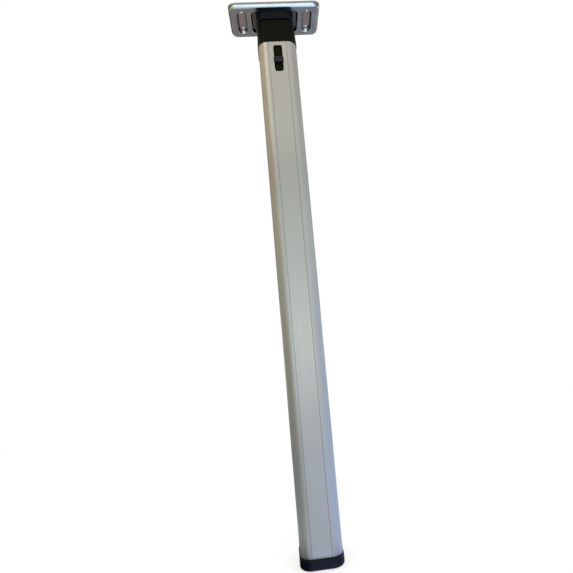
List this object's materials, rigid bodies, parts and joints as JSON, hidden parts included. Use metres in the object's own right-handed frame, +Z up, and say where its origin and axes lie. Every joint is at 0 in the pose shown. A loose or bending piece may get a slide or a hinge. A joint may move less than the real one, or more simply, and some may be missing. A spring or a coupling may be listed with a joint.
{
  "type": "folding table leg",
  "caption": "Hinged table leg: pressed steel mounting plate, black hinge block with a thumb-slide bolt lock, rounded-square aluminium tube and a moulded foot cap. Folds flat under the table.",
  "frame": {"origin": "middle of the foot cap's underside, on the floor", "axes": "+Z up along the leg to the table, +X along the plate's long side, thumb slide on the -Y face"},
  "size_m": [0.1208, 0.0614, 0.699],
  "materials": {
    "zinc_plated_steel": "zinc plated, satin",
    "black_plastic": "satin moulded",
    "bright_steel": "bright zinc",
    "die_cast_zinc": "as cast, tumbled",
    "bronze": "sintered, oiled",
    "nylon": "natural",
    "spring_steel": "oiled",
    "anodised_aluminium": "satin champagne anodised",
    "plain_aluminium": "plain",
    "foot_plastic": "satin moulded"
  },
  "bodies": {
    "mount": {"mounting_plate": "zinc_plated_steel", "hinge_base": "black_plastic", "base_screws": "bright_steel", "lock_knuckle": "die_cast_zinc", "knuckle_rivets": "bright_steel", "pivot_bush": "bronze", "thrust_washers": "nylon"},
    "leg": {"hinge_head": "black_plastic", "pivot_pin": "bright_steel", "pin_clips": "spring_steel", "leg_tube": "anodised_aluminium", "tube_rivets": "plain_aluminium", "latch_spring": "spring_steel", "spring_seat": "black_plastic", "seat_screws": "bright_steel", "foot_cap": "foot_plastic"},
    "latch": {"latch_carriage": "black_plastic", "thumb_slide": "black_plastic", "latch_bolt": "bright_steel", "bolt_roll_pin": "spring_steel"}
  },
  "joints": [
    {"name": "leg_fold", "type": "hinge", "parent": "mount", "child": "leg", "pos_m": [0, 0.0128, 0.6663], "axis": [1, 0, 0], "range_deg": [0, 90]},
    {"name": "latch_slide", "type": "slide", "parent": "leg", "child": "latch", "axis": [0, 0, 1], "range_m": [0, 0.006], "stiffness_N_per_m": 300, "springref_m": 0.016, "deforming": ["latch_spring"]}
  ]
}
